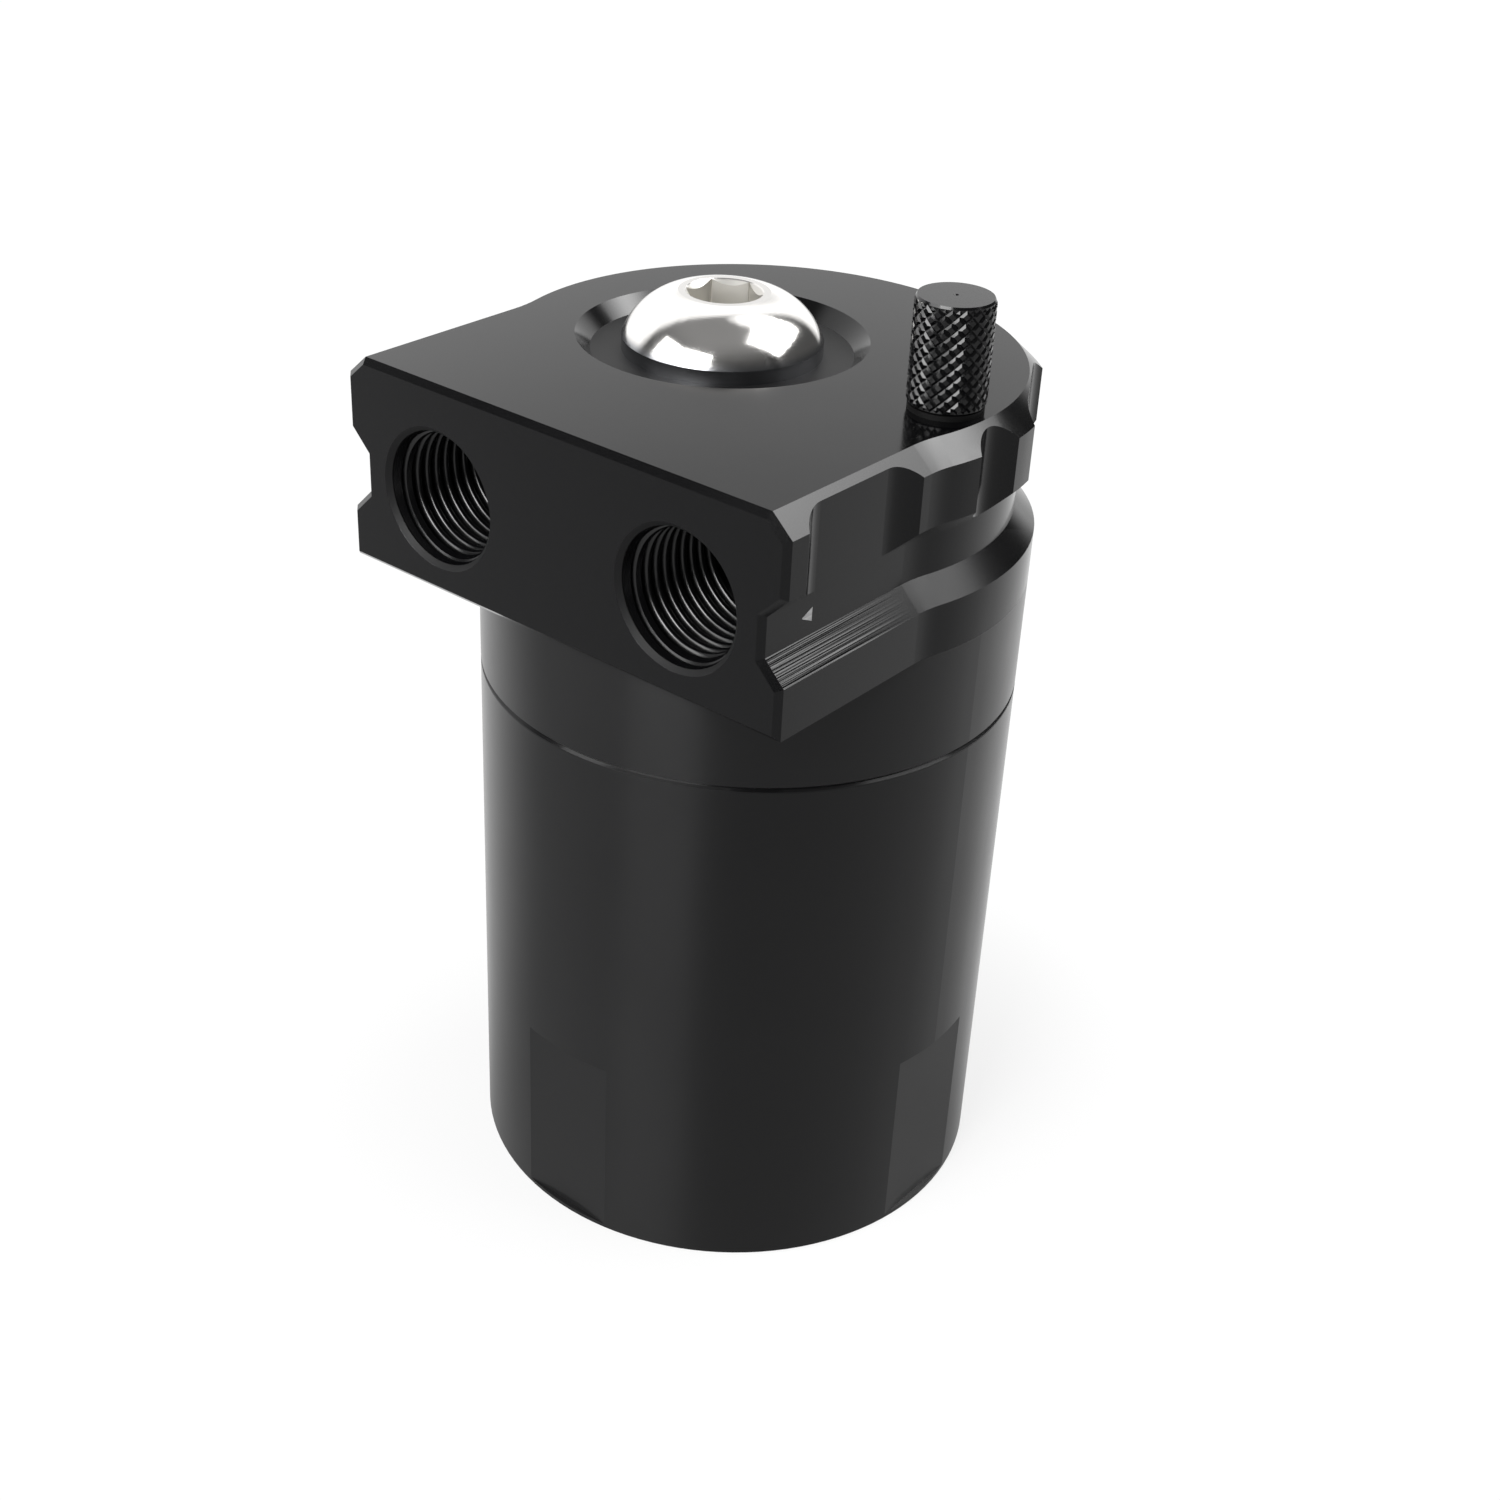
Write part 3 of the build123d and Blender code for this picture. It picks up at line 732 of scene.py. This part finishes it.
class CATCHCAN_OT_stage(bpy.types.Operator):
    """Lays the floor, hangs the lamps, lights the room and sets the camera"""

    bl_idname = "catchcan.stage"
    bl_label = "Stage"

    def execute(self, context):
        self.lay_floor(context.scene.catch_can_colours)
        self.hang_lamps()
        self.light_room(context.scene)
        self.set_camera(context.scene)
        return {"FINISHED"}

    def lay_floor(self, colours):
        """Pale paper, white to the camera but for the soft shadow at the foot."""
        nothing_selected()
        bpy.ops.mesh.primitive_plane_add(size=2.0)
        floor = bpy.context.object
        settle()
        bpy.ops.mesh.extrude_region_move(TRANSFORM_OT_translate={"value": (0.0, 0.0, -0.01)})
        bpy.ops.mesh.select_all(action="SELECT")
        bpy.ops.transform.resize(value=(3.0, 3.0, 1.0), center_override=(0.0, 0.0, 0.0))
        close_and_turn_out()
        floor.name = "floor"
        paper = bpy.data.materials.new("floor_paper")
        paper.use_nodes = True
        tree = paper.node_tree
        tree.nodes.remove(tree.nodes["Principled BSDF"])
        rays = add_node(tree, "ShaderNodeLightPath").node.outputs
        lit = add_node(tree, "ShaderNodeBsdfDiffuse", {"Color": colours.floor})
        white = add_node(tree, "ShaderNodeEmission", {"Strength": 1.03})
        place = add_node(tree, "ShaderNodeTexCoord", out="Object")
        far = add_node(tree, "ShaderNodeVectorMath", {0: place}, out="Value", operation="LENGTH")
        far = {"Value": far, "From Min": 0.035, "From Max": 0.09, "To Min": 0.72, "To Max": 1.0}
        far = add_node(tree, "ShaderNodeMapRange", far, interpolation_type="SMOOTHSTEP")
        seen = {0: rays["Is Camera Ray"], 1: far}
        seen = add_node(tree, "ShaderNodeMath", seen, operation="MULTIPLY")
        mixed = add_node(tree, "ShaderNodeMixShader", {0: seen, 1: lit, 2: white})
        # In the gloss the paper glows with painted light, bright beside and behind the can, and is
        # painted dim on the camera's side.
        bearing = add_node(tree, "ShaderNodeVectorMath", {0: place}, operation="NORMALIZE")
        nearness = {0: bearing, 1: (0.615, -0.788, 0.0)}
        nearness = add_node(tree, "ShaderNodeVectorMath", nearness, out="Value", operation="DOT_PRODUCT")
        glow = {"Value": nearness, "From Min": 0.35, "From Max": -0.85, "To Min": 0.46, "To Max": 0.97}
        glow = add_node(tree, "ShaderNodeMapRange", glow, interpolation_type="SMOOTHSTEP")
        mirrored = add_node(tree, "ShaderNodeEmission", {"Strength": glow})
        whole = add_node(tree, "ShaderNodeMixShader", {0: rays["Is Glossy Ray"], 1: mixed, 2: mirrored})
        tree.links.new(whole, tree.nodes["Material Output"].inputs["Surface"])
        floor.data.materials.append(paper)

    def hang_lamps(self):
        """A window of two panes in front and a softbox behind on the right, as the bolt mirrors them."""
        target, distance = Vector((0.0, 0.0, 0.11)), 0.95
        for name, azimuth, elevation, wide, high, radiance in (
            ("window_right_pane", -84, 26, 0.49, 0.62, 9.3),
            ("window_left_pane", -118, 26, 0.57, 0.62, 4.0),
            ("softbox_back", 47, 50, 0.9, 0.69, 2.6),
        ):
            turn = Matrix.Rotation(radians(azimuth), 3, "Z")
            lift = Matrix.Rotation(radians(-elevation), 3, "Y")
            spot = target + turn @ lift @ Vector((distance, 0.0, 0.0))
            nothing_selected()
            bpy.ops.object.light_add(type="AREA", location=spot)
            lamp = bpy.context.object
            lamp.name = name
            lamp.rotation_euler = (target - spot).to_track_quat("-Z", "Y").to_euler()
            lamp.data.shape = "RECTANGLE"
            lamp.data.size = wide
            lamp.data.size_y = high
            lamp.data.energy = radiance * pi * wide * high
            lamp.visible_camera = False

    def light_room(self, scene):
        """White to the camera; in the gloss, a white wall behind on the left and a dim room in front."""
        world = bpy.data.worlds.new("studio")
        world.use_nodes = True
        scene.world = world
        tree = world.node_tree
        rays = add_node(tree, "ShaderNodeLightPath").node.outputs
        around = add_node(tree, "ShaderNodeTexCoord", out="Generated")
        height = add_node(tree, "ShaderNodeSeparateXYZ", {"Vector": around}, out="Z")
        dim = {"Value": height, "From Min": 0.45, "From Max": 0.95, "To Min": 0.07, "To Max": 0.25}
        dim = add_node(tree, "ShaderNodeMapRange", dim, interpolation_type="SMOOTHSTEP")
        # The wall, a shade darker where two of its sheets meet.
        sheets = {0: around, 1: (-0.536, 0.712, 0.454)}
        sheets = add_node(tree, "ShaderNodeVectorMath", sheets, out="Value", operation="DOT_PRODUCT")
        wall = {"Value": sheets, "From Min": 0.965, "From Max": 1.0, "To Min": 1.25, "To Max": 0.75}
        wall = add_node(tree, "ShaderNodeMapRange", wall)
        reach = {0: around, 1: (-0.8387, 0.5446, 0.2)}
        reach = add_node(tree, "ShaderNodeVectorMath", reach, out="Value", operation="DOT_PRODUCT")
        reach = {"Value": reach, "From Min": 0.5, "From Max": 0.66}
        reach = add_node(tree, "ShaderNodeMapRange", reach, interpolation_type="SMOOTHSTEP")
        # One more sheet joins the wall to the softbox under the ceiling.
        join = {0: around, 1: (0.016, 0.469, 0.883)}
        join = add_node(tree, "ShaderNodeVectorMath", join, out="Value", operation="DOT_PRODUCT")
        join = {"Value": join, "From Min": 0.95, "From Max": 0.985}
        join = add_node(tree, "ShaderNodeMapRange", join, interpolation_type="SMOOTHSTEP")
        reach = add_node(tree, "ShaderNodeMath", {0: reach, 1: join}, operation="MAXIMUM")
        room = add_node(tree, "ShaderNodeMix", {"Factor": reach, "A": dim, "B": wall}, out="Result")
        # The tube inside the softbox shows as a bright core, long on the slant and narrow across it.
        core = {0: around, 1: (0.3954, 0.5862, 0.7071)}
        core = add_node(tree, "ShaderNodeVectorMath", core, out="Value", operation="DOT_PRODUCT")
        core = add_node(tree, "ShaderNodeMath", {0: core, 1: 45.0, 2: -45.0}, operation="MULTIPLY_ADD")
        across = {0: around, 1: (-0.8423, -0.1025, 0.5292)}
        across = add_node(tree, "ShaderNodeVectorMath", across, out="Value", operation="DOT_PRODUCT")
        across = add_node(tree, "ShaderNodeMath", {0: across, 1: across}, operation="MULTIPLY")
        core = {0: across, 1: -69.0, 2: core}
        core = add_node(tree, "ShaderNodeMath", core, operation="MULTIPLY_ADD")
        core = add_node(tree, "ShaderNodeMath", {0: core}, operation="EXPONENT")
        room = add_node(tree, "ShaderNodeMath", {0: core, 1: 12.0, 2: room}, operation="MULTIPLY_ADD")
        gloss = {0: rays["Is Glossy Ray"], 1: rays["Is Transmission Ray"]}
        gloss = add_node(tree, "ShaderNodeMath", gloss, operation="MAXIMUM")
        room = add_node(tree, "ShaderNodeMix", {"Factor": gloss, "A": 0.25, "B": room}, out="Result")
        seen = {"Factor": rays["Is Camera Ray"], "A": room, "B": 1.0}
        seen = add_node(tree, "ShaderNodeMix", seen, out="Result")
        tree.links.new(seen, tree.nodes["Background"].inputs["Strength"])
        tree.nodes["Background"].inputs["Color"].default_value = (1.0, 1.0, 1.0, 1.0)
        scene.view_settings.view_transform = "Standard"

    def set_camera(self, scene):
        """The photograph's own camera, worked out from the can's circles and the head's edges."""
        nothing_selected()
        bpy.ops.object.camera_add()
        camera = bpy.context.object
        turn = Matrix.Rotation(radians(37.7935), 3, "Z")
        tilt = Matrix.Rotation(pi / 2 - radians(30.6643), 3, "X")
        roll = Matrix.Rotation(radians(3.0693), 3, "Z")
        camera.rotation_euler = (turn @ tilt @ roll).to_euler()
        camera.location = (0.165781, -0.212274, 0.223104)
        camera.data.sensor_fit = "HORIZONTAL"
        camera.data.sensor_width = 36.0
        camera.data.lens = 51.1858
        camera.data.clip_start = 0.005
        scene.camera = camera


STEPS = (
    CATCHCAN_OT_finishes,
    CATCHCAN_OT_port_threads,
    CATCHCAN_OT_spigot_thread,
    CATCHCAN_OT_knurled_knob,
    CATCHCAN_OT_flow_marks,
    CATCHCAN_OT_stage,
)


class CATCHCAN_PT_panel(bpy.types.Panel):
    """Lists the sizes, the colours and the steps of the catch can"""

    bl_idname = "CATCHCAN_PT_panel"
    bl_label = "Catch can"
    bl_space_type = "VIEW_3D"
    bl_region_type = "UI"
    bl_category = "Catch Can"

    def draw(self, context):
        for group in (context.scene.catch_can_sizes, context.scene.catch_can_colours):
            column = self.layout.column(align=True)
            for name in group.__annotations__:
                column.prop(group, name)
        for step in STEPS:
            self.layout.operator(step.bl_idname)


CLASSES = (CatchCanSizes, CatchCanColours, *STEPS, CATCHCAN_PT_panel)


def register():
    for each in CLASSES:
        bpy.utils.register_class(each)
    bpy.types.Scene.catch_can_sizes = PointerProperty(type=CatchCanSizes)
    bpy.types.Scene.catch_can_colours = PointerProperty(type=CatchCanColours)


def unregister():
    del bpy.types.Scene.catch_can_colours
    del bpy.types.Scene.catch_can_sizes
    for each in reversed(CLASSES):
        bpy.utils.unregister_class(each)


def main():
    register()
    bpy.ops.catchcan.finishes()
    bpy.ops.catchcan.port_threads()
    bpy.ops.catchcan.spigot_thread()
    bpy.ops.catchcan.knurled_knob()
    bpy.ops.catchcan.flow_marks()
    bpy.ops.catchcan.stage()


if __name__ == "__main__":
    main()
